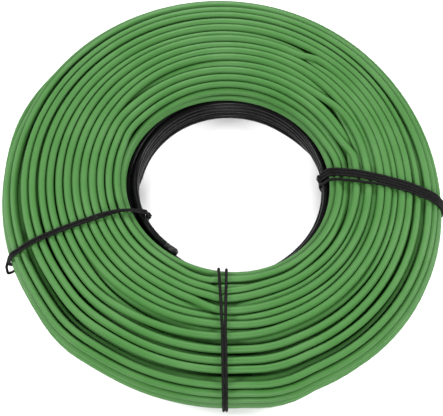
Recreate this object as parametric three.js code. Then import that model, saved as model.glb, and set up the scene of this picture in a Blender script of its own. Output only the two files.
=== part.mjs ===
// A snow melting cable, stored as one flat lying coil. All sizes are millimetres, +Z is the coil's axis and
// z = 0 is the floor. The green heating cable is one turned ring whose ridges are its turns. The black cold
// lead is a smaller turned ring inside the bore, under the green ring's lip. Three black cords tie the coil.
import * as THREE from 'three';

// Sizes of the whole coil
const OUTER_RADIUS = 195.8;
const BORE_RADIUS = 80.3;
const COIL_HEIGHT = 56;
const WIDEST_HEIGHT = 26;
const FIT_GAP = 0.35;

// The bore isn't quite round and lies towards the far right, so the coil's wall is thinner there
const BORE_SHIFT = 10.9;
const BORE_SHIFT_AZIMUTH = 42;
const BORE_OVAL = 1.3;

// The outside is a little oval too, with three faint bulges
const OUTER_OVAL = 2.6;
const OUTER_OVAL_AZIMUTH = 133;
const OUTER_BULGE = 1.3;
const OUTER_BULGE_AZIMUTH = 77;

// Heating cable and cold lead
const CABLE_DIAMETER = 6.4;
const LEAD_DIAMETER = 6;
const LEAD_ROWS = 5;
const LEAD_COLUMNS = 2;
const TURN_PITCH = 7.5;

// The green turns start this far out above the lead. The lip that they form is widest at the left, and at the
// front the lead is tucked back under it
const LIP = 6.9;
const LIP_SHIFT = 3.2;
const LIP_SHIFT_AZIMUTH = 236;
const LIP_OVAL = 2.1;
const LIP_OVAL_AZIMUTH = 156;
const LIP_LEAST = 1.5;
const LEAD_TUCK = 4.5;
const LEAD_TUCK_AZIMUTH = 275;
const GROOVE_DEPTH = 0.25 * CABLE_DIAMETER;
const RIDGE_SHOULDER = 0.24;

// Roundness of the coil's section: 2 is an ellipse, more is squarer
const CROWN_ROUNDNESS = 2.3;
const BASE_ROUNDNESS = 3.4;
const BASE_FLATTENING = 1.2;

// Ties
const CORD_DIAMETER = 2.3;
const TIE_SPACING = 0.92 * CORD_DIAMETER;
const UNDERPASS = CORD_DIAMETER + FIT_GAP + 0.3;
const UNDERPASS_FLAT = 11;
const UNDERPASS_END = 19;

// Cap on the free end of the cold lead
const CAP_DIAMETER = 6.4;
const CAP_NECK = 0.78 * CAP_DIAMETER;
const CAP_LENGTH = 13;
const CAP_NECK_LENGTH = 3;
const CAP_AZIMUTH = 233;
const CAP_DEPTH = 0.5 * LEAD_DIAMETER;

// Fineness
const COLUMNS = 32;
const SECTION_STEPS = 720;
const TIE_STEPS = 36;
const CHORD_ROOM = 0.1;
const CORD_SIDES = 3;
const CAP_SIDES = 14;

const GREEN = 0x5f9552;
const LEAD_BLACK = 0x1b1b1c;
const CORD_BLACK = 0x121213;

const WALL = OUTER_RADIUS - BORE_RADIUS;
const LEAD_WIDTH = LEAD_COLUMNS * LEAD_DIAMETER;
const LEAD_TOP = LEAD_ROWS * LEAD_DIAMETER;
const LEAD_EDGE = LEAD_WIDTH + FIT_GAP;

const TIES = [
  { name: 'tie_left', azimuth: 200, wraps: 2, slant: 0, bow: -7 },
  { name: 'tie_front', azimuth: 270, wraps: 2, slant: 0, bow: 0 },
  { name: 'tie_right', azimuth: 0.5, wraps: 4, slant: -0.29, bow: 0 },
];

const radians = (degrees) => (degrees * Math.PI) / 180;

// Angle between two azimuths in degrees, never more than half a turn
function apart(first, second) {
  const turn = (((first - second) % 360) + 360) % 360;
  return Math.min(turn, 360 - turn);
}

// Radius of the bore at an azimuth in degrees
function boreAt(azimuth) {
  const shift = BORE_SHIFT * Math.cos(radians(azimuth - BORE_SHIFT_AZIMUTH));
  return BORE_RADIUS + shift + BORE_OVAL * Math.cos(2 * radians(azimuth));
}

// Outer radius of the coil at an azimuth in degrees
function outerAt(azimuth) {
  const oval = OUTER_OVAL * Math.cos(2 * radians(azimuth - OUTER_OVAL_AZIMUTH));
  return OUTER_RADIUS + oval + OUTER_BULGE * Math.cos(3 * radians(azimuth - OUTER_BULGE_AZIMUTH));
}

// Depth at which the green turns start above the lead
function lipAt(azimuth) {
  const shift = LIP_SHIFT * Math.cos(radians(azimuth - LIP_SHIFT_AZIMUTH));
  return LIP + shift + LIP_OVAL * Math.cos(2 * radians(azimuth - LIP_OVAL_AZIMUTH));
}

// How far back the lead is tucked under the green turns
function tuckAt(azimuth) {
  return LEAD_TUCK * Math.max(0, Math.cos(radians(azimuth - LEAD_TUCK_AZIMUTH))) ** 4;
}

// The underside arches over each tie by this much
function archAt(azimuth) {
  let arch = 0;
  for (const tie of TIES) {
    const away = apart(azimuth, tie.azimuth);
    const share = (UNDERPASS_END - away) / (UNDERPASS_END - UNDERPASS_FLAT);
    arch = Math.max(arch, UNDERPASS * Math.min(1, Math.max(0, share)));
  }
  return arch;
}

// Puts a point of the section, given as its depth into the wall and its height, at an azimuth
function place(depth, height, azimuth) {
  const bore = boreAt(azimuth);
  const radius = bore + (depth * (outerAt(azimuth) - bore)) / WALL;
  const lift = archAt(azimuth) * Math.max(0, 1 - height / WIDEST_HEIGHT);
  const a = radians(azimuth);
  return [radius * Math.cos(a), radius * Math.sin(a), height + lift];
}

// The same, on the flat facets between the ring's columns, so that a tie keeps its gap everywhere
function placeOnFacet(depth, height, azimuth) {
  const pitch = 360 / COLUMNS;
  const column = Math.floor(azimuth / pitch);
  const past = radians(azimuth - column * pitch);
  const share = Math.sin(past) / (Math.sin(past) + Math.sin(radians(pitch) - past));
  const before = place(depth, height, column * pitch);
  const after = place(depth, height, (column + 1) * pitch);
  return before.map((value, k) => value + share * (after[k] - value));
}

// Point of the section's hull at an angle in radians: 0 is the outside, a quarter turn is the crown
function hullPoint(angle) {
  const c = Math.cos(angle);
  const s = Math.sin(angle);
  const roundness = s >= 0 ? CROWN_ROUNDNESS : BASE_ROUNDNESS;
  const power = 2 / roundness;
  const rise = s >= 0 ? COIL_HEIGHT - WIDEST_HEIGHT : WIDEST_HEIGHT + BASE_FLATTENING;
  const across = Math.sign(c) * Math.abs(c) ** power * (WALL / 2);
  const up = Math.sign(s) * Math.abs(s) ** power * rise;
  return [WALL / 2 + across, Math.max(0, WIDEST_HEIGHT + up)];
}

// Height of the hull's crown at a depth into the wall
function crownHeight(depth) {
  const across = Math.abs(depth / (WALL / 2) - 1) ** (CROWN_ROUNDNESS / 2);
  return WIDEST_HEIGHT + (COIL_HEIGHT - WIDEST_HEIGHT) * Math.sqrt(1 - across ** 2) ** (2 / CROWN_ROUNDNESS);
}

// Hull points by equal steps of angle, as a closed loop going up the outside and over the crown
function hullLoop() {
  const loop = [];
  for (let i = 0; i < SECTION_STEPS; i += 1) {
    loop.push(hullPoint((2 * Math.PI * i) / SECTION_STEPS));
  }
  return loop;
}

// The hull between two places, walked in its own direction
function hullRun(from, to) {
  const loop = hullLoop();
  const near = (target) => {
    let best = 0;
    let least = Infinity;
    loop.forEach((p, i) => {
      const d = Math.hypot(p[0] - target[0], p[1] - target[1]);
      if (d < least) {
        least = d;
        best = i;
      }
    });
    return best;
  };
  const start = near(from);
  const end = near(to);
  const run = [];
  for (let i = start; i % SECTION_STEPS !== end; i += 1) {
    run.push(loop[i % SECTION_STEPS]);
  }
  run.push(loop[end]);
  return run;
}

// Cuts a run into turns: each has a groove, then a crest that lies on the run
function ridged(run, pitch, groove) {
  const lengths = [0];
  for (let i = 1; i < run.length; i += 1) {
    const step = Math.hypot(run[i][0] - run[i - 1][0], run[i][1] - run[i - 1][1]);
    lengths.push(lengths[i - 1] + step);
  }
  const total = lengths[lengths.length - 1];
  const turns = Math.max(1, Math.round(total / pitch));
  const at = (distance) => {
    let i = 1;
    while (i < run.length - 1 && lengths[i] < distance) i += 1;
    const span = lengths[i] - lengths[i - 1] || 1;
    const t = Math.min(1, Math.max(0, (distance - lengths[i - 1]) / span));
    const ahead = [(run[i][0] - run[i - 1][0]) / span, (run[i][1] - run[i - 1][1]) / span];
    const point = [run[i - 1][0] + ahead[0] * span * t, run[i - 1][1] + ahead[1] * span * t];
    return { point, inward: [-ahead[1], ahead[0]] };
  };
  const outline = [];
  for (let k = 0; k < turns; k += 1) {
    const low = at((total * k) / turns);
    if (k > 0) {
      outline.push([low.point[0] + groove * low.inward[0], low.point[1] + groove * low.inward[1]]);
    }
    outline.push(at((total * (k + RIDGE_SHOULDER)) / turns).point);
    outline.push(at((total * (k + 1 - RIDGE_SHOULDER)) / turns).point);
  }
  return outline;
}

// Turns a closed section outline of [depth, height] points into the coil's ring. Fit moves a point's depth
function turned(outline, fit) {
  const closed = [...outline, outline[0]];
  const profile = closed.map(([depth, height]) => new THREE.Vector2(BORE_RADIUS + depth, height));
  const ring = new THREE.LatheGeometry(profile, COLUMNS);
  const spots = ring.getAttribute('position');
  for (let column = 0; column <= COLUMNS; column += 1) {
    const azimuth = (360 * (column % COLUMNS)) / COLUMNS;
    closed.forEach(([depth, height], j) => {
      spots.setXYZ(column * closed.length + j, ...place(fit(depth, height, azimuth), height, azimuth));
    });
  }
  ring.computeVertexNormals();
  return ring;
}

// A grid of closed rows, joined row to row, the last to the first
function closedGrid(rows) {
  const across = rows[0].length;
  const index = [];
  for (let i = 0; i < rows.length; i += 1) {
    const next = (i + 1) % rows.length;
    for (let j = 0; j < across; j += 1) {
      const side = (j + 1) % across;
      const [a, b, c, d] = [i * across + j, next * across + j, next * across + side, i * across + side];
      index.push(a, c, b, a, d, c);
    }
  }
  const grid = new THREE.BufferGeometry();
  grid.setAttribute('position', new THREE.Float32BufferAttribute(rows.flat(2), 3));
  grid.setIndex(index);
  grid.computeVertexNormals();
  return grid;
}

// Outline of a tie's cords lying side by side: [along the azimuth, away from the coil]
function cordOutline(wraps) {
  const radius = CORD_DIAMETER / 2;
  const half = ((wraps - 1) * TIE_SPACING) / 2;
  const outline = [];
  for (let w = 0; w < wraps; w += 1) {
    for (let k = 0; k < CORD_SIDES; k += 1) {
      const a = Math.PI * (1 - (k + 0.5) / CORD_SIDES);
      outline.push([w * TIE_SPACING - half + radius * Math.cos(a), radius * Math.sin(a)]);
    }
  }
  for (let k = 0; k <= CORD_SIDES; k += 1) {
    const a = (-Math.PI * k) / CORD_SIDES;
    outline.push([Math.sign(Math.cos(a)) * half + radius * Math.cos(a), radius * Math.sin(a)]);
  }
  return outline;
}

// Stations of a tie: the hull moved outward, in steps that are shorter where it bends
function tieStations() {
  const loop = hullLoop();
  const away = FIT_GAP + CHORD_ROOM + CORD_DIAMETER / 2;
  const fine = loop.map((point, i) => {
    const before = loop[(i + SECTION_STEPS - 1) % SECTION_STEPS];
    const after = loop[(i + 1) % SECTION_STEPS];
    const run = Math.hypot(after[0] - before[0], after[1] - before[1]);
    const outward = [(after[1] - before[1]) / run, -(after[0] - before[0]) / run];
    const spot = [point[0] + away * outward[0], point[1] + away * outward[1]];
    return { spot, outward, ahead: Math.hypot(after[0] - point[0], after[1] - point[1]) };
  });
  const round = fine.reduce((sum, station) => sum + station.ahead, 0);
  const cost = [0];
  fine.forEach((station, i) => {
    const next = fine[(i + 1) % SECTION_STEPS].outward;
    const cross = station.outward[0] * next[1] - station.outward[1] * next[0];
    cost.push(cost[i] + station.ahead / round + Math.abs(cross) / (2 * Math.PI));
  });
  const stations = [];
  for (let k = 0; k < TIE_STEPS; k += 1) {
    const wanted = (cost[SECTION_STEPS] * k) / TIE_STEPS;
    stations.push(fine[cost.findIndex((value) => value >= wanted)]);
  }
  return stations;
}

// A tie goes once around the section, a fit gap away from the turns
function tieBand(tie) {
  const outline = cordOutline(tie.wraps);
  const rows = tieStations().map(({ spot: [depth, height], outward }) => {
    const crown = Math.max(0, height / WIDEST_HEIGHT - 1);
    const inner = Math.max(0, 1 - depth / WALL);
    const sideways = tie.slant * (depth - WALL / 2) + tie.bow * crown * inner;
    const radius = boreAt(tie.azimuth) + depth;
    return outline.map(([along, away]) => {
      const azimuth = tie.azimuth + ((along + sideways) / radius) * (180 / Math.PI);
      return placeOnFacet(depth + away * outward[0], height + away * outward[1], azimuth);
    });
  });
  return closedGrid(rows);
}

// The lead's end cap lies on the lead's top turn, inside the lip of the green ring
function capTurned() {
  const half = CAP_LENGTH / 2;
  const profile = [
    [0, -half],
    [0.5 * CAP_NECK - 0.4, -half],
    [0.5 * CAP_NECK, 0.4 - half],
    [0.5 * CAP_NECK, CAP_NECK_LENGTH - half],
    [0.5 * CAP_DIAMETER - 0.5, CAP_NECK_LENGTH - half],
    [0.5 * CAP_DIAMETER, CAP_NECK_LENGTH + 0.5 - half],
    [0.5 * CAP_DIAMETER, half - 1],
    [0.5 * CAP_DIAMETER - 1, half],
    [0, half],
  ];
  const cap = new THREE.LatheGeometry(profile.map(([r, y]) => new THREE.Vector2(r, y)), CAP_SIDES);
  const azimuth = radians(CAP_AZIMUTH);
  const [x, y, z] = place(CAP_DEPTH, LEAD_TOP + FIT_GAP + 0.5 * CAP_DIAMETER, CAP_AZIMUTH);
  cap.rotateZ(azimuth);
  cap.translate(x, y, z);
  return cap;
}

// Section of the green ring: hull outside, then under the lip and down along the lead
const lipFoot = LEAD_TOP + FIT_GAP;
const greenRun = hullRun([LEAD_EDGE, 0], [LIP_LEAST, lipFoot]);
const greenOutline = [
  [LEAD_EDGE, greenRun[0][1]],
  ...ridged(greenRun.slice(1), TURN_PITCH, GROOVE_DEPTH),
  [LIP_LEAST, lipFoot],
  [LEAD_EDGE, lipFoot],
];

function fitGreen(depth, height, azimuth) {
  if (depth === LEAD_EDGE) return depth + tuckAt(azimuth);
  return height >= lipFoot ? Math.max(depth, lipAt(azimuth)) : depth + tuckAt(azimuth) * Math.max(0, 1 - depth / WALL);
}

// Section of the lead's ring: ridged on the bore's side, upright towards the green ring
const leadRun = hullRun([0, LEAD_TOP], [LEAD_WIDTH, 0]);
const leadOutline = [
  [LEAD_WIDTH, LEAD_TOP],
  [0.5 * LEAD_DIAMETER, LEAD_TOP],
  ...ridged(leadRun, LEAD_DIAMETER, 0.25 * LEAD_DIAMETER),
  [LEAD_WIDTH, leadRun[leadRun.length - 1][1]],
];

function fitLead(depth, height, azimuth) {
  return depth + tuckAt(azimuth);
}

const part = new THREE.Group();
part.name = 'snow_melting_cable_coil';

function add(name, geometry, colour, roughness) {
  const material = new THREE.MeshStandardMaterial({ color: colour, roughness, metalness: 0 });
  const mesh = new THREE.Mesh(geometry, material);
  mesh.name = name;
  part.add(mesh);
}

add('heating_cable_coil', turned(greenOutline, fitGreen), GREEN, 0.42);
add('cold_lead_coil', turned(leadOutline, fitLead), LEAD_BLACK, 0.35);
add('lead_end_cap', capTurned(), LEAD_BLACK, 0.45);
for (const tie of TIES) {
  add(tie.name, tieBand(tie), CORD_BLACK, 0.8);
}

// The origin is the middle of the whole coil's box, on the floor
const box = new THREE.Box3().setFromObject(part);
const middle = box.getCenter(new THREE.Vector3());
for (const mesh of part.children) {
  mesh.geometry.translate(-middle.x, -middle.y, -box.min.z);
}

export default part;
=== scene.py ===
# %% [markdown]
# # A coil of snow melting cable
#
# The object is one long green heating cable, wound into a flat ring that lies on the floor. Its black cold
# lead, the part that later runs to the thermostat, is wound inside the bore. Three black cords tie it all.
# The solids of the rigid model come first, from model.glb. Everything below is fitted to them, in metres.

import math

import bmesh
import bpy
import numpy as np
from mathutils import Matrix, Vector


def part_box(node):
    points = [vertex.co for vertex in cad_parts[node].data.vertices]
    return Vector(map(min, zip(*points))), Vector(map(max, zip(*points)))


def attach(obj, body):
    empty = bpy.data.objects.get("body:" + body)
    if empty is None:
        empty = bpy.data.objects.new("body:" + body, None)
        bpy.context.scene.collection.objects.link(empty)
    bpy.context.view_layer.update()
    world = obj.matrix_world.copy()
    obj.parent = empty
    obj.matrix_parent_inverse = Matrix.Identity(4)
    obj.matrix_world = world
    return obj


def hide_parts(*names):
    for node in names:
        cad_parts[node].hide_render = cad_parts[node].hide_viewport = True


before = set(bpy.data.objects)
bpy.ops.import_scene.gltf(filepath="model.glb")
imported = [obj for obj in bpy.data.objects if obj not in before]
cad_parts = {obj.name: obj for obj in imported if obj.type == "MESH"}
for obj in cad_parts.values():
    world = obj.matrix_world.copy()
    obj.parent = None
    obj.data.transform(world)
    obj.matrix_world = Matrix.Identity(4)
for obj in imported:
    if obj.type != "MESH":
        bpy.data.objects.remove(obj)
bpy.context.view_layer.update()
print("solids:", sorted(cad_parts))

# %% [markdown]
# A wound coil is easiest to think of in its section: a point has a depth into the wall, measured from the
# bore, and a height. One function then carries any such point around the ring. It repeats the few sizes of
# the rigid model, so the cable lies where its solid ring is. The bore is off centre, neither it nor the
# outside is quite round, and the underside arches over each tie.

# %% Sizes of the coil
OUTER_RADIUS = 0.1958
BORE_RADIUS = 0.0803
BORE_SHIFT = 0.0109
BORE_SHIFT_AZIMUTH = math.radians(42)
BORE_OVAL = 0.0013
OUTER_OVAL = 0.0026
OUTER_OVAL_AZIMUTH = math.radians(133)
OUTER_BULGE = 0.0013
OUTER_BULGE_AZIMUTH = math.radians(77)
WIDEST_HEIGHT = 0.026
CROWN_ROUNDNESS = 2.3
BASE_ROUNDNESS = 3.4
BASE_FLATTENING = 0.0012
CABLE_DIAMETER = 0.0064
LEAD_DIAMETER = 0.0060
LEAD_ROWS = 5
LEAD_COLUMNS = 2
# The cords of the rigid model are 2.3 mm. The worn cord in the photograph looks a little thicker.
CORD_DIAMETER = 0.0025
FIT_GAP = 0.00035
WALL = OUTER_RADIUS - BORE_RADIUS
LEAD_WIDTH = LEAD_COLUMNS * LEAD_DIAMETER
LEAD_TOP = LEAD_ROWS * LEAD_DIAMETER
LEAD_SIDE = LEAD_WIDTH + FIT_GAP
LIP = 0.0069
LIP_SHIFT = 0.0032
LIP_SHIFT_AZIMUTH = math.radians(236)
LIP_OVAL = 0.0021
LIP_OVAL_AZIMUTH = math.radians(156)
LEAD_TUCK = 0.0045
LEAD_TUCK_AZIMUTH = math.radians(275)
UNDERPASS = 0.00295
UNDERPASS_FLAT = 11.0
UNDERPASS_END = 19.0
TIE_AZIMUTHS = {"tie_left": 200.0, "tie_front": 270.0, "tie_right": 0.5}
RING_COLUMNS = 32
ring_low, ring_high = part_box("heating_cable_coil")
COIL_HEIGHT = ring_high.z


# %% Carry a section point around the ring
def bore_at(azimuth):
    """Radius of the bore at azimuths in radians."""
    shift = BORE_SHIFT * np.cos(azimuth - BORE_SHIFT_AZIMUTH)
    return BORE_RADIUS + shift + BORE_OVAL * np.cos(2 * azimuth)


def outer_at(azimuth):
    """Outer radius of the coil at azimuths in radians."""
    oval = OUTER_OVAL * np.cos(2 * (azimuth - OUTER_OVAL_AZIMUTH))
    return OUTER_RADIUS + oval + OUTER_BULGE * np.cos(3 * (azimuth - OUTER_BULGE_AZIMUTH))


def arch_at(azimuth):
    """How far the underside arches over a tie, at azimuths in radians."""
    arch = np.zeros_like(azimuth)
    for tie_azimuth in TIE_AZIMUTHS.values():
        turned = np.degrees(azimuth) - tie_azimuth
        away = np.abs((turned + 180) % 360 - 180)
        share = (UNDERPASS_END - away) / (UNDERPASS_END - UNDERPASS_FLAT)
        arch = np.maximum(arch, UNDERPASS * np.clip(share, 0, 1))
    return arch


def place_about(axis, depth, height, azimuth):
    """Section points carried to their azimuths, in a ring about that axis."""
    bore = bore_at(azimuth)
    radius = bore + depth * (outer_at(azimuth) - bore) / WALL
    lift = arch_at(azimuth) * np.clip(1 - height / WIDEST_HEIGHT, 0, None)
    x = axis[0] + radius * np.cos(azimuth)
    y = axis[1] + radius * np.sin(azimuth)
    return np.stack([x, y, height + lift], axis=-1)


# The solid ring has its corners in columns. Their middle, against the middle of its box, gives its axis.
columns = 2 * math.pi * np.arange(RING_COLUMNS) / RING_COLUMNS
rim = place_about((0, 0), WALL, WIDEST_HEIGHT, columns)
AXIS = [(ring_low[k] + ring_high[k]) / 2 - (rim[:, k].min() + rim[:, k].max()) / 2 for k in range(2)]


def place(depth, height, azimuth):
    """Section points carried to their azimuths, in the row frame."""
    return place_about(AXIS, depth, height, azimuth)


print("the coil's axis stands at", [round(a * 1000, 2) for a in AXIS], "mm")

# %% [markdown]
# The camera comes early, because everything else is judged through it. The photograph looks down at the coil
# from about 66 degrees, from about a metre away, so the near side is a little larger than the far one.

# %% Camera
CAMERA_ELEVATION = math.radians(66.0)
CAMERA_DISTANCE = 1.0
FRAME_WIDTH = 443
FOCAL_PIXELS = 1120.7
SENSOR_WIDTH = 36.0
AIM_NEARER = 0.0164

camera = bpy.data.objects.new("camera", bpy.data.cameras.new("camera"))
bpy.context.scene.collection.objects.link(camera)
camera.data.sensor_width = SENSOR_WIDTH
camera.data.lens = FOCAL_PIXELS / FRAME_WIDTH * SENSOR_WIDTH
camera_reach = CAMERA_DISTANCE * math.cos(CAMERA_ELEVATION)
camera_rise = CAMERA_DISTANCE * math.sin(CAMERA_ELEVATION)
camera.location = (AXIS[0], AXIS[1] - camera_reach, COIL_HEIGHT / 2 + camera_rise)
camera.rotation_euler = (math.atan2(camera_reach - AIM_NEARER, camera_rise), 0.0, 0.0)
bpy.context.scene.camera = camera
print("camera at", tuple(round(c, 3) for c in camera.location))


# %% [markdown]
# The section's outer line is part ellipse, part rounded box: the crown is domed and the base is flat where it
# lies on the floor. The lead fills a notch at the foot of the bore, under a lip of green turns.

# %% Outline of the section
def hull(steps):
    """The section's outer line, a closed loop: outside, crown, bore side, base. Also its inward normals."""
    angle = np.linspace(0, 2 * math.pi, steps, endpoint=False)
    c, s = np.cos(angle), np.sin(angle)
    power = np.where(s >= 0, 2 / CROWN_ROUNDNESS, 2 / BASE_ROUNDNESS)
    rise = np.where(s >= 0, COIL_HEIGHT - WIDEST_HEIGHT, WIDEST_HEIGHT + BASE_FLATTENING)
    depth = WALL / 2 + np.sign(c) * np.abs(c) ** power * WALL / 2
    height = np.maximum(0, WIDEST_HEIGHT + np.sign(s) * np.abs(s) ** power * rise)
    loop = np.stack([depth, height], axis=-1)
    ahead = np.roll(loop, -1, axis=0) - np.roll(loop, 1, axis=0)
    ahead /= np.linalg.norm(ahead, axis=1, keepdims=True)
    return loop, np.stack([-ahead[:, 1], ahead[:, 0]], axis=-1)


def lip_at(azimuth):
    """Depth at which the green turns start above the lead."""
    shift = LIP_SHIFT * np.cos(azimuth - LIP_SHIFT_AZIMUTH)
    return LIP + shift + LIP_OVAL * np.cos(2 * (azimuth - LIP_OVAL_AZIMUTH))


def tuck_at(azimuth):
    """How far the lead is tucked back under the green turns, which is only at the front."""
    return LEAD_TUCK * np.clip(np.cos(azimuth - LEAD_TUCK_AZIMUTH), 0, None) ** 4


def clear_of_lead(depth, height, azimuth, room):
    """Moves section points out of the notch that the lead fills, and back behind the lip."""
    side = LEAD_SIDE + tuck_at(azimuth) + room
    over_lead = (height < LEAD_TOP + FIT_GAP + room) & (depth < side)
    rise = LEAD_TOP + FIT_GAP + room - height
    go_up = over_lead & (rise < side - depth)
    height = np.where(go_up, height + rise, height)
    depth = np.where(over_lead & ~go_up, side, depth)
    return np.where(height >= LEAD_TOP, np.maximum(depth, lip_at(azimuth) + room), depth), height


print("wall", round(WALL * 1000, 1), "mm wide and", round(COIL_HEIGHT * 1000, 1), "mm high")

# %% [markdown]
# The real cable was wound turn on turn, so its turns never lie in perfect rows: they wander, sink between
# their neighbours and leave dark gaps. Modelling each turn by hand would take days. Instead each turn gets a
# place in the section, in layers from the inside out, and a slow random drift along its length. Then all
# turns push each other apart until they hardly overlap, while the cable's stiffness keeps each one smooth.

# %% Places for the turns of the heating cable
# Each turn is followed through 60 planes. A gap is a wider step between two turns of one layer.
PLANES = 60
LAYERS = 3
HULL_STEPS = 720
LAYER_STEP = 0.98 * CABLE_DIAMETER
TURN_PITCH = 1.18 * CABLE_DIAMETER
TURN_SPACING = 1.07 * CABLE_DIAMETER
GAP_SHARE = 0.25
GAP_STEP = 1.6
rng = np.random.default_rng(11)


def layer_places(inset):
    """Turn places along the section's outer line, moved inwards by inset. They are a pitch apart on average,
    but lie in small groups with wider gaps between them."""
    loop, inward = hull(HULL_STEPS)
    loop = loop + inset * inward
    start = int(np.argmin(np.hypot(loop[:, 0] - LEAD_SIDE - inset, loop[:, 1] - inset)))
    loop = np.roll(loop, -start, axis=0)
    depth, height = clear_of_lead(loop[:, 0], loop[:, 1], np.pi / 2, inset)
    loop = np.stack([depth, height], axis=-1)
    loop = np.vstack([loop, loop[:1]])
    along = np.concatenate([[0], np.cumsum(np.linalg.norm(np.diff(loop, axis=0), axis=1))])
    count = int(along[-1] / TURN_PITCH)
    steps = np.where(rng.uniform(size=count) < GAP_SHARE, GAP_STEP, 1.0)
    wanted = (np.cumsum(steps) - steps[0]) * along[-1] / steps.sum()
    return np.stack([np.interp(wanted, along, loop[:, k]) for k in range(2)], axis=-1)


layers = []
for layer in reversed(range(LAYERS)):
    layers.append(layer_places(CABLE_DIAMETER / 2 + layer * LAYER_STEP))
green_places = np.vstack(layers)
hidden_turns = sum(len(one) for one in layers[:-1])
print("turns in each layer, inside out:", [len(one) for one in layers])

# %% Slow drift along the cable
DRIFT_STEPS = 18
SINK_FROM = 0.1
CROWN_RISE = 0.015
GREEN_WANDER = 0.65 * CABLE_DIAMETER
LEAD_WANDER = 0.45 * LEAD_DIAMETER


def drift(count):
    """Smooth random numbers from about -1 to 1, that change slowly along the cable."""
    knots = rng.uniform(-1, 1, count // DRIFT_STEPS + 4)
    at = np.arange(count) / DRIFT_STEPS
    low = at.astype(int)
    share = at - low
    ease = share * share * (3 - 2 * share)
    return knots[low] * (1 - ease) + knots[low + 1] * ease


def wound(turn_places, sideways, inwards):
    """The cable's start: it slides from each place to the next in one turn, and wanders on the way. Only
    turns on the crown sink, so the rim stays full."""
    nodes = np.vstack([turn_places, turn_places[-1:]])
    steps = len(turn_places) * PLANES
    at = np.arange(steps) / PLANES
    line = np.stack([np.interp(at, np.arange(len(nodes)), nodes[:, k]) for k in range(2)], axis=-1)
    inward = np.array([WALL / 2, WIDEST_HEIGHT]) - line
    inward /= np.linalg.norm(inward, axis=1, keepdims=True)
    along = np.stack([-inward[:, 1], inward[:, 0]], axis=-1)
    on_crown = np.clip((line[:, 1] - WIDEST_HEIGHT) / CROWN_RISE, 0, 1)
    sink = np.clip(drift(steps) - SINK_FROM, 0, 1) * on_crown
    return line + sideways * drift(steps)[:, None] * along + inwards * sink[:, None] * inward


green_start = wound(green_places, GREEN_WANDER, CABLE_DIAMETER)
print("points along the heating cable:", len(green_start))

# %% [markdown]
# The relaxing works on section planes. In each plane, turns that are too close are pushed apart, and from
# plane to plane the cable is smoothed. A weak pull keeps each turn near its own place. Two dents and three
# bulges give the rim the uneven edge that it has in the photograph.

# %% Push the turns apart
azimuths = 2 * math.pi * np.arange(PLANES) / PLANES
LAST_SMOOTHING = 0.25
PUSH_SHARE = 0.42
PUSHES = 2
RIM_DENT = 0.0045
RIM_DENT_MIDDLE = 298
RIM_DENT_WIDTH = 8
UPPER_DENT = 0.0055
UPPER_DENT_MIDDLE = 154
UPPER_DENT_WIDTH = 22
UPPER_DENT_FROM = 0.032
LOW_BULGE = 0.0035
LOW_BULGE_MIDDLE = 158
LOW_BULGE_WIDTH = 20
LOW_BULGE_TOP = 0.036
LOW_BULGE_FADE = 0.008
RIM_BULGES = ((0.0030, 225, 14), (0.0035, 285, 9))


def hump_at(azimuth, middle, width):
    """A smooth hump of height 1 and that half width, around an azimuth, both in degrees."""
    away = np.abs((np.degrees(azimuth) - middle + 180) % 360 - 180)
    return np.cos(np.clip(away / width, 0, 1) * math.pi / 2) ** 2


def dent_at(azimuth, height):
    """How far the outer turns are held back from the rigid ring's rim."""
    upper = height > UPPER_DENT_FROM
    rim_dent = RIM_DENT * hump_at(azimuth, RIM_DENT_MIDDLE, RIM_DENT_WIDTH)
    return rim_dent + UPPER_DENT * hump_at(azimuth, UPPER_DENT_MIDDLE, UPPER_DENT_WIDTH) * upper


def bulge_at(azimuth, height):
    """How far the outer turns stand out past the rigid ring's rim, where they were wound loosely."""
    low = np.clip((LOW_BULGE_TOP - height) / LOW_BULGE_FADE, 0, 1)
    bulge = LOW_BULGE * hump_at(azimuth, LOW_BULGE_MIDDLE, LOW_BULGE_WIDTH) * low
    for reach, middle, width in RIM_BULGES:
        bulge = bulge + reach * hump_at(azimuth, middle, width)
    return bulge


def keep_in_section(points, azimuth, radius, notch):
    """Pushes points back inside the section's outer line. Green turns also leave the lead's notch, while
    the lead stands upright and is only drawn in by the ties."""
    depth, height = points[..., 0], points[..., 1]
    if notch:
        depth, height = clear_of_lead(depth, height, azimuth, radius)
        depth = np.minimum(depth, WALL - radius - dent_at(azimuth, height))
    across = (depth - WALL / 2) / (WALL / 2 - radius)
    top = height >= WIDEST_HEIGHT
    rise = np.where(top, COIL_HEIGHT - WIDEST_HEIGHT, WIDEST_HEIGHT + BASE_FLATTENING) - radius
    roundness = np.where(top, CROWN_ROUNDNESS, BASE_ROUNDNESS)
    up = (height - WIDEST_HEIGHT) / rise
    size = (np.abs(across) ** roundness + np.abs(up) ** roundness) ** (1 / roundness)
    hold = 1 if notch else arch_at(azimuth) / UNDERPASS
    scale = 1 + hold * (1 / np.maximum(size, 1) - 1)
    depth = WALL / 2 + (depth - WALL / 2) * scale
    height = np.maximum(WIDEST_HEIGHT + (height - WIDEST_HEIGHT) * scale, radius)
    return np.stack([depth, height], axis=-1)


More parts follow.
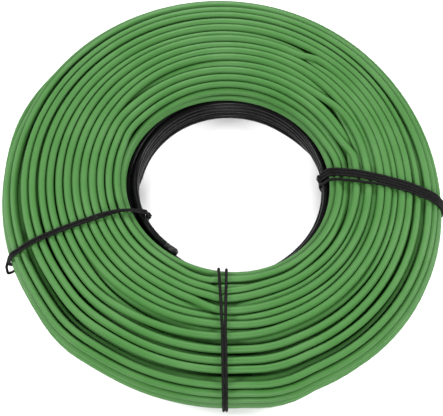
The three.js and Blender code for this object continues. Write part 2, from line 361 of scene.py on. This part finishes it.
def relax(line, diameter, spacing, rounds, notch, pull, stiffness):
    """Settles a wound cable until its turns lie a spacing apart."""
    turns = len(line) // PLANES
    goal = line.copy()
    same = np.eye(turns, dtype=bool)[None]
    for step in range(rounds):
        left = 1 - step / rounds
        middle = 0.5 * (line[:-2] + line[2:])
        line[1:-1] += stiffness * min(1, LAST_SMOOTHING + 2 * left) * (middle - line[1:-1])
        line += pull * left * (goal - line)
        grid = line.reshape(turns, PLANES, 2).transpose(1, 0, 2)
        for _ in range(PUSHES):
            between = grid[:, :, None, :] - grid[:, None, :, :]
            distance = np.sqrt((between**2).sum(-1)) + 1e-9
            overlap = np.where(same, 0, np.maximum(0, spacing - distance))
            grid = grid + PUSH_SHARE * (between * (overlap / distance)[..., None]).sum(2)
            grid = keep_in_section(grid, azimuths[:, None], diameter / 2, notch)
        line = grid.transpose(1, 0, 2).reshape(-1, 2)
    deepest = np.where(same, 0, np.maximum(0, diameter - distance)).max()
    print(turns, "turns relaxed, deepest overlap", round(deepest * 1000, 2), "mm")
    return line


ROUNDS = 160
green_line = relax(green_start, CABLE_DIAMETER, TURN_SPACING, ROUNDS, notch=True, pull=0.06, stiffness=0.5)
green_azimuth = 2 * math.pi * np.arange(len(green_line)) / PLANES
green_line[:, 0] += bulge_at(green_azimuth, green_line[:, 1]) * (green_line[:, 0] / WALL) ** 3

# %% [markdown]
# A cable is a round section swept along its line, which is what a curve with a round bevel does. The line is
# filled in between the planes first, so that the wide outer turns stay round.


# %% Sweep a line into a cable
def smoothed(line, finer):
    """A line through the same points, with finer steps between them."""
    at = np.arange((len(line) - 1) * finer + 1) / finer
    low = np.clip(at.astype(int), 1, len(line) - 3)
    t = (at - low)[:, None]
    before, here, after, last = line[low - 1], line[low], line[low + 1], line[low + 2]
    bend = 2 * before - 5 * here + 4 * after - last
    return here + 0.5 * t * (after - before + t * (bend + t * (3 * (here - after) + last - before)))


def ring_points(line, finer):
    """Points in the row frame along a wound line."""
    fine = smoothed(line, finer)
    azimuth = np.arange(len(fine)) / finer * 2 * math.pi / PLANES
    return place(fine[:, 0], fine[:, 1], azimuth)


def path_length(points):
    """Length of a path of points, in metres."""
    return float(np.linalg.norm(np.diff(points, axis=0), axis=1).sum())


def swept(name, points, diameter, round_steps):
    """A round cable along the points, as a curve of one open spline with closed ends. The bevel is 1 deep,
    so that each point's radius is the cable's own, because the frame adds it to the curve's bounds."""
    curve = bpy.data.curves.new(name, "CURVE")
    curve.dimensions = "3D"
    curve.bevel_mode = "ROUND"
    curve.bevel_depth = 1.0
    curve.bevel_resolution = round_steps
    curve.use_fill_caps = True
    spline = curve.splines.new("POLY")
    spline.points.add(len(points) - 1)
    spline.points.foreach_set("co", np.hstack([points, np.ones((len(points), 1))]).ravel())
    spline.points.foreach_set("radius", np.full(len(points), diameter / 2))
    spline.use_smooth = True
    cable = bpy.data.objects.new(name, curve)
    bpy.context.scene.collection.objects.link(cable)
    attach(cable, "root")
    print(name, "is", round(path_length(points), 2), "m long")
    return cable


# %% The heating cable
# The one cable is swept in two lengths. The longest cord that the frame takes is 60 m. They meet
# inside the coil, where the second layer ends.
split = hidden_turns * PLANES
inner_points = ring_points(green_line[: split + 1], 2)
outer_points = ring_points(green_line[split:], 2)
inner_turns = swept("heating_cable_inner_turns", inner_points, CABLE_DIAMETER, 2)
outer_turns = swept("heating_cable_outer_turns", outer_points, CABLE_DIAMETER, 4)
for green_turns, points in ((inner_turns, inner_points), (outer_turns, outer_points)):
    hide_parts("heating_cable_coil")

# %% [markdown]
# The black cold lead is wound the same way, in two columns against the bore. Its last turn climbs out on
# top and ends in a moulded cap, which lies beside the lip of the green turns.

# %% Cold lead
CAP_AZIMUTH = math.radians(233)
CAP_DIAMETER = 0.0064
CAP_LENGTH = 0.013
CAP_DEPTH = LEAD_DIAMETER / 2
CAP_HEIGHT = LEAD_TOP + FIT_GAP + CAP_DIAMETER / 2
CAP_SIDES = 28
CLIMB_START = 150 / 360
LEAD_END = 230 / 360
CLIMB_END = LEAD_END - 0.02

lead_places = []
for column in reversed(range(LEAD_COLUMNS)):
    rows = range(LEAD_ROWS) if column == 0 else reversed(range(LEAD_ROWS))
    for row in rows:
        lead_places.append([(column + 0.5) * LEAD_DIAMETER, (row + 0.5) * LEAD_DIAMETER])
lead_start = wound(np.array(lead_places), LEAD_WANDER, 0)
lead_line = relax(lead_start, LEAD_DIAMETER, LEAD_DIAMETER, ROUNDS, notch=False, pull=0.1, stiffness=0.4)
lead_line[:, 0] = np.clip(lead_line[:, 0], LEAD_DIAMETER / 2, LEAD_WIDTH - LEAD_DIAMETER / 2)
lead_line[:, 1] = np.clip(lead_line[:, 1], LEAD_DIAMETER / 2, LEAD_TOP - LEAD_DIAMETER / 2)
lead_azimuth = 2 * math.pi * np.arange(len(lead_line)) / PLANES
lead_line[:, 0] += tuck_at(lead_azimuth)
last_turn = len(lead_places) - 1
lead_line = lead_line[: int((last_turn + LEAD_END) * PLANES) + 1]
turned = np.arange(len(lead_line)) / PLANES - last_turn
climb = np.clip((turned - CLIMB_START) / (CLIMB_END - CLIMB_START), 0, 1)[:, None]
climb = climb * climb * (3 - 2 * climb)
lead_line = lead_line * (1 - climb) + np.array([[CAP_DEPTH, CAP_HEIGHT]]) * climb
lead_points = ring_points(lead_line, 3)
cold_lead = swept("cold_lead", lead_points, LEAD_DIAMETER, 5)
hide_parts("cold_lead_coil")


# %% Cap on the lead's end
def turned_piece(name, profile, sides):
    """Spins a profile of (radius, distance along the axis) about Z into a closed piece."""
    shape = bmesh.new()
    corners = [shape.verts.new((radius, 0, along)) for radius, along in profile]
    edges = [shape.edges.new(pair) for pair in zip(corners[:-1], corners[1:])]
    bmesh.ops.spin(shape, geom=corners + edges, cent=(0, 0, 0), axis=(0, 0, 1), angle=2 * math.pi,
                   steps=sides, use_merge=True)
    bmesh.ops.remove_doubles(shape, verts=shape.verts, dist=1e-6)
    bmesh.ops.recalc_face_normals(shape, faces=shape.faces)
    for face in shape.faces:
        face.smooth = True
    mesh = bpy.data.meshes.new(name)
    shape.to_mesh(mesh)
    shape.free()
    piece = bpy.data.objects.new(name, mesh)
    bpy.context.scene.collection.objects.link(piece)
    return piece


# The cap has one groove near the lead, and a narrower nose at its free end.
half_cap = CAP_LENGTH / 2
wide = CAP_DIAMETER / 2
groove = 0.0027
nose = 0.0024
cap_profile = [
    (0, -half_cap), (groove, -half_cap), (wide, -half_cap + 0.0005), (wide, -half_cap + 0.0028),
    (groove, -half_cap + 0.0031), (groove, -half_cap + 0.0040), (wide, -half_cap + 0.0043),
    (wide, half_cap - 0.0024), (0.0030, half_cap - 0.0018), (nose, half_cap - 0.0016),
    (0.0023, half_cap - 0.0004), (0.0019, half_cap), (0, half_cap),
]
end_cap = turned_piece("cold_lead_end_cap", cap_profile, CAP_SIDES)
cap_spot = Vector(place(CAP_DEPTH, CAP_HEIGHT, np.array(CAP_AZIMUTH)))
cap_turn = Matrix.Rotation(CAP_AZIMUTH, 4, "Z") @ Matrix.Rotation(-math.pi / 2, 4, "X")
end_cap.data.transform(Matrix.Translation(cap_spot) @ cap_turn)
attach(end_cap, "root")
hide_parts("lead_end_cap")

# %% [markdown]
# Each tie is one thin cord, wound a few times around the section and knotted at the bore. Pulled tight, it
# touches only the turns that stand out most, and spans straight from one to the next. So its path is the
# convex outline of the turns at that azimuth. Its strands run side by side in lanes, and drift apart where
# the photograph shows green between them.

# %% Path of a tie
TIE_STEPS = 150
TIE_DIRECTIONS = 1440
LANE_CHANGE = 0.05
LIFT = CABLE_DIAMETER / 2 + FIT_GAP / 2 + CORD_DIAMETER / 2
green_grid = green_line.reshape(-1, PLANES, 2)
lead_grid = np.full((len(lead_places), PLANES, 2), np.nan)
lead_grid.reshape(-1, 2)[: len(lead_line)] = lead_line


def tight_loop(azimuth):
    """A tight cord's path around the turns at an azimuth in degrees: its points and its outward normals.
    It starts outside and goes over the crown to the bore and back under the coil."""
    plane = azimuth / 360 * PLANES
    near = [int(math.floor(plane)) % PLANES, int(math.ceil(plane)) % PLANES]
    middles = np.concatenate([grid[:, near].reshape(-1, 2) for grid in (green_grid, lead_grid)])
    middles = middles[~np.isnan(middles[:, 0])]
    angle = np.linspace(0, 2 * math.pi, TIE_DIRECTIONS, endpoint=False)
    outward = np.stack([np.cos(angle), np.sin(angle)], axis=-1)
    return middles[(outward @ middles.T).argmax(axis=1)] + LIFT * outward, outward


def bump(at, middle, width):
    """A smooth hump of height 1 at a share of the way round the section."""
    away = np.abs((at - middle + 0.5) % 1 - 0.5)
    return np.cos(np.clip(away / width, 0, 1) * math.pi / 2) ** 2


def tie_points(azimuth, at, away, sideways, slant=0.0, bow=0.0):
    """Points of a tie: share of the way round the section, distance off the turns, and along the azimuth."""
    loop, outward = tight_loop(math.degrees(azimuth))
    ends = np.vstack([loop, loop[:1]])
    along = np.concatenate([[0], np.cumsum(np.linalg.norm(np.diff(ends, axis=0), axis=1))])
    along = along[:-1] / along[-1]
    share = at % 1
    depth, height = [np.interp(share, along, loop[:, k], period=1) for k in range(2)]
    out_depth, out_height = [np.interp(share, along, outward[:, k], period=1) for k in range(2)]
    crown = np.clip(height / WIDEST_HEIGHT - 1, 0, None)
    shift = slant * (depth - WALL / 2) + bow * crown * np.clip(1 - depth / WALL, 0, None) + sideways
    radius = bore_at(azimuth) + depth
    return place(depth + away * out_depth, height + away * out_height, azimuth + shift / radius)


def lanes(wraps, spacing, turn):
    """Lane of a cord that has gone that many turns: it changes lane behind the knot."""
    whole = np.floor(turn + 1e-9)
    change = np.clip((turn - whole) / LANE_CHANGE, 0, 1)
    lane = np.clip(whole, 0, wraps - 1) - (1 - change) * (whole > 0)
    return (lane - (wraps - 1) / 2) * spacing


def knot_and_tail(start, ahead, side, out, size, tail):
    """A ring around the strands, then a short bent tail, as points that go on from a tie's last point."""
    turn = np.linspace(0, 2 * math.pi, KNOT_STEPS)[1:, None]
    round_out = (1 - np.cos(turn)) * KNOT_FLATNESS * out
    ring = start + size * (np.sin(turn) * side + round_out) + KNOT_RISE * turn * ahead
    step = np.linspace(0, 1, TAIL_STEPS)[1:, None]
    bend = np.sin(step * math.pi) * side * TAIL_BEND
    ear = ring[-1] + tail * (step * out * TAIL_REACH + bend + step**2 * ahead * TAIL_DROP)
    return np.vstack([ring, ear])


# %% The three ties
# Places along a tie are shares of the way round the section: 0 is outside, about 0.5 is at the bore.
TOUCHING = CORD_DIAMETER
KNOT_RADIUS = 0.85 * CORD_DIAMETER
KNOT_FLATNESS = 0.55
KNOT_RISE = 0.0004
KNOT_STEPS = 18
KNOT_TILT = 0.25
TAIL_STEPS = 9
TAIL_REACH = 0.8
TAIL_BEND = 0.7
TAIL_DROP = 0.7
TWIST_END = 0.45
TWIST_LENGTH = 0.15
SLACK_MIDDLE = 0.985
SLACK_WIDTH = 0.045
SLACK_OFF = 0.0042
SLACK_ALONG = 0.0045
SPREAD_START = 0.24
SPREAD_LENGTH = 0.2
SPREAD_END = 0.62
SPREAD_RETURN = 0.12
SPREAD = 1.7
STRAY_START = 0.27
STRAY_LENGTH = 0.06
STRAY_OFF = 0.0019
RIGHT_SPACING = 1.08 * TOUCHING
NEAREST_LANE = -1.4 * TOUCHING


def tie(name, wraps, shape, knot_at=0.5, shift=0.0, slant=0.0, bow=0.0, tail=0.004):
    """Winds one tie. Shape gives each strand's distance off the coil and its sideways place."""
    azimuth = math.radians(TIE_AZIMUTHS[name])
    turn = np.linspace(0, wraps, wraps * TIE_STEPS + 1)
    at = knot_at + turn
    away, sideways = shape(turn, at % 1)
    points = tie_points(azimuth, at, away, sideways + shift, slant, bow)
    out = np.array([-math.cos(azimuth), -math.sin(azimuth), KNOT_TILT])
    side = np.array([-math.sin(azimuth), math.cos(azimuth), 0.0])
    ahead = np.array([0.0, 0.0, -1.0])
    points = np.vstack([points, knot_and_tail(points[-1], ahead, -side, out, KNOT_RADIUS, tail)])
    cord = swept(name + "_cord", points, CORD_DIAMETER, 2)
    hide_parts(name)
    return cord


def left_shape(turn, at):
    """Two strands that twist once around each other, with a slack loop at the outer rim."""
    lane = lanes(2, TOUCHING, turn)
    twist = np.clip((TWIST_END - at) / TWIST_LENGTH, 0, 1) * math.pi
    over = np.sin(twist) * np.sign(lane)
    slack = bump(at, SLACK_MIDDLE, SLACK_WIDTH) * (turn > 1)
    away = 0.5 * TOUCHING * (np.abs(np.sin(twist)) + over) + SLACK_OFF * slack
    return away, lane * np.cos(twist) + SLACK_ALONG * slack


def front_shape(turn, at):
    """Two strands, apart at the bore and together from the middle of the wall outwards."""
    lane = lanes(2, TOUCHING, turn)
    on_top = np.clip((at - SPREAD_START) / SPREAD_LENGTH, 0, 1) * (at < 0.5)
    below = np.clip((SPREAD_END - at) / SPREAD_RETURN, 0, 1) * (at >= 0.5)
    return 0 * at, lane * (1 + SPREAD * (on_top + below))


def right_shape(turn, at):
    """Three strands side by side, and a fourth that strays on the near side of the inner half."""
    lane = lanes(4, RIGHT_SPACING, turn)
    stray = np.clip((at - STRAY_START) / STRAY_LENGTH, 0, 1) * (at < 0.5) * (lane < NEAREST_LANE)
    return 0 * at, lane - STRAY_OFF * stray


tie_left = tie("tie_left", 2, left_shape, bow=-0.0025)
tie_front = tie("tie_front", 2, front_shape, knot_at=0.56, shift=0.0018, slant=0.018, tail=0.002)
tie_right = tie("tie_right", 4, right_shape, shift=-0.0046, slant=-0.27, tail=0.003)

# %% [markdown]
# The jacket of the heating cable is an extruded plastic with a satin skin. Its colour is even, with faint
# dusty patches where it was handled, and very fine grain in the skin. Noise on object coordinates gives the
# patches, the grain and small changes of roughness, so the pattern stays on the cable from every side.


# %% Finishes
def finish(name, colour, roughness, specular):
    """A plastic of one colour and roughness. Also its node tree and its shader, for what isn't even."""
    material = bpy.data.materials.new(name)
    material.use_nodes = True
    shader = material.node_tree.nodes["Principled BSDF"]
    shader.inputs["Base Color"].default_value = (*colour, 1)
    shader.inputs["Roughness"].default_value = roughness
    shader.inputs["Specular IOR Level"].default_value = specular
    return material, material.node_tree, shader


def noise(tree, scale, detail):
    """A noise on object coordinates, in features per metre."""
    coordinates = tree.nodes.new("ShaderNodeTexCoord")
    texture = tree.nodes.new("ShaderNodeTexNoise")
    texture.inputs["Scale"].default_value = scale
    texture.inputs["Detail"].default_value = detail
    tree.links.new(coordinates.outputs["Object"], texture.inputs["Vector"])
    return texture.outputs["Fac"]


def worn(tree, shader, factor, low, high, clean, dusty):
    """Base colour that goes from clean to dusty as a factor goes from low to high."""
    ramp = tree.nodes.new("ShaderNodeValToRGB")
    ramp.color_ramp.elements[0].position = low
    ramp.color_ramp.elements[1].position = high
    ramp.color_ramp.elements[0].color = (*clean, 1)
    ramp.color_ramp.elements[1].color = (*dusty, 1)
    tree.links.new(factor, ramp.inputs["Fac"])
    tree.links.new(ramp.outputs["Color"], shader.inputs["Base Color"])


def grain(tree, shader, scale, strength, distance):
    """Fine grain in the skin."""
    bump_node = tree.nodes.new("ShaderNodeBump")
    bump_node.inputs["Strength"].default_value = strength
    bump_node.inputs["Distance"].default_value = distance
    tree.links.new(noise(tree, scale, 3), bump_node.inputs["Height"])
    tree.links.new(bump_node.outputs["Normal"], shader.inputs["Normal"])


def roughness_between(tree, shader, factor, low, high):
    """Roughness that changes with a factor."""
    spread = tree.nodes.new("ShaderNodeMapRange")
    spread.inputs["To Min"].default_value = low
    spread.inputs["To Max"].default_value = high
    tree.links.new(factor, spread.inputs["Value"])
    tree.links.new(spread.outputs["Result"], shader.inputs["Roughness"])


GREEN = (0.037, 0.126, 0.026)
GREEN_DUSTY = (0.049, 0.142, 0.036)
LEAD_BLACK = (0.0035, 0.0035, 0.0038)
LEAD_DUSTY = (0.007, 0.007, 0.007)
CAP_BLACK = (0.008, 0.008, 0.009)
CORD_BLACK = (0.003, 0.003, 0.003)
CORD_WORN = (0.009, 0.0085, 0.0085)


def green_jacket_finish():
    """Satin green plastic, with faint dusty patches where it was handled."""
    material, tree, shader = finish("green_jacket", GREEN, 0.5, 0.2)
    worn(tree, shader, noise(tree, 26, 4), 0.4, 0.68, GREEN, GREEN_DUSTY)
    roughness_between(tree, shader, noise(tree, 90, 3), 0.44, 0.58)
    grain(tree, shader, 900, 0.12, 0.0004)
    return material


def black_jacket_finish():
    """Smoother black plastic, which shows thin highlights along the lead."""
    material, tree, shader = finish("black_jacket", LEAD_BLACK, 0.3, 0.08)
    worn(tree, shader, noise(tree, 40, 4), 0.45, 0.75, LEAD_BLACK, LEAD_DUSTY)
    roughness_between(tree, shader, noise(tree, 120, 3), 0.22, 0.34)
    grain(tree, shader, 1100, 0.10, 0.0004)
    return material


def black_cap_finish():
    """Moulded black plastic, a little greyer and rougher than the lead."""
    material, tree, shader = finish("black_cap", CAP_BLACK, 0.45, 0.2)
    worn(tree, shader, noise(tree, 160, 3), 0.4, 0.7, CAP_BLACK, LEAD_DUSTY)
    grain(tree, shader, 1500, 0.2, 0.0003)
    return material


def black_cord_finish():
    """Dull black cord with a coarse grain, which stands for its fibres."""
    material, tree, shader = finish("black_cord", CORD_BLACK, 0.75, 0.1)
    worn(tree, shader, noise(tree, 700, 2), 0.4, 0.7, CORD_BLACK, CORD_WORN)
    grain(tree, shader, 2600, 0.5, 0.0004)
    return material


FINISHES = {
    green_jacket_finish(): (inner_turns, outer_turns),
    black_jacket_finish(): (cold_lead,),
    black_cap_finish(): (end_cap,),
    black_cord_finish(): (tie_left, tie_front, tie_right),
}
for material, pieces in FINISHES.items():
    for piece in pieces:
        piece.data.materials.append(material)
print("finishes:", [material.name for material in FINISHES])

# %% [markdown]
# The photograph is a product picture on white: an even, soft light with hardly any direction. Four round
# lights stand about 36 degrees up, on the four sides. None hangs straight above, so the gaps between the
# turns stay dark, as they are in the photograph. A pale floor throws some light back.

# %% Floor and light
FLOOR_HALF = 4.0
FLOOR_DROP = 0.0002
FLOOR_PALE = (0.93, 0.93, 0.93)
LIGHT_SIZE = 0.7
WORLD_STRENGTH = 0.07
floor_shape = bmesh.new()
bmesh.ops.create_grid(floor_shape, x_segments=1, y_segments=1, size=FLOOR_HALF)
floor_mesh = bpy.data.meshes.new("floor")
floor_shape.to_mesh(floor_mesh)
floor_shape.free()
floor = bpy.data.objects.new("floor", floor_mesh)
bpy.context.scene.collection.objects.link(floor)
floor.location.z = -FLOOR_DROP
floor_mesh.materials.append(finish("floor_paint", FLOOR_PALE, 0.9, 0.1)[0])


def soft_light(name, spot, power):
    """A round area light at a spot, aimed at the coil."""
    lamp = bpy.data.lights.new(name, "AREA")
    lamp.shape = "DISK"
    lamp.size = LIGHT_SIZE
    lamp.energy = power
    light = bpy.data.objects.new(name, lamp)
    bpy.context.scene.collection.objects.link(light)
    light.location = spot
    light.rotation_euler = (-Vector(spot)).to_track_quat("-Z", "Y").to_euler()
    return light


soft_light("left", (-1.5, 0.1, 1.1), 39)
soft_light("right", (1.5, 0.1, 1.1), 38)
soft_light("front", (0.1, -1.5, 1.1), 34)
soft_light("back", (-0.1, 1.5, 1.1), 34)
world = bpy.data.worlds.new("white_room")
bpy.context.scene.world = world
bpy.context.scene.view_settings.view_transform = "Standard"
world.use_nodes = True
world.node_tree.nodes["Background"].inputs["Color"].default_value = (1, 1, 1, 1)
world.node_tree.nodes["Background"].inputs["Strength"].default_value = WORLD_STRENGTH
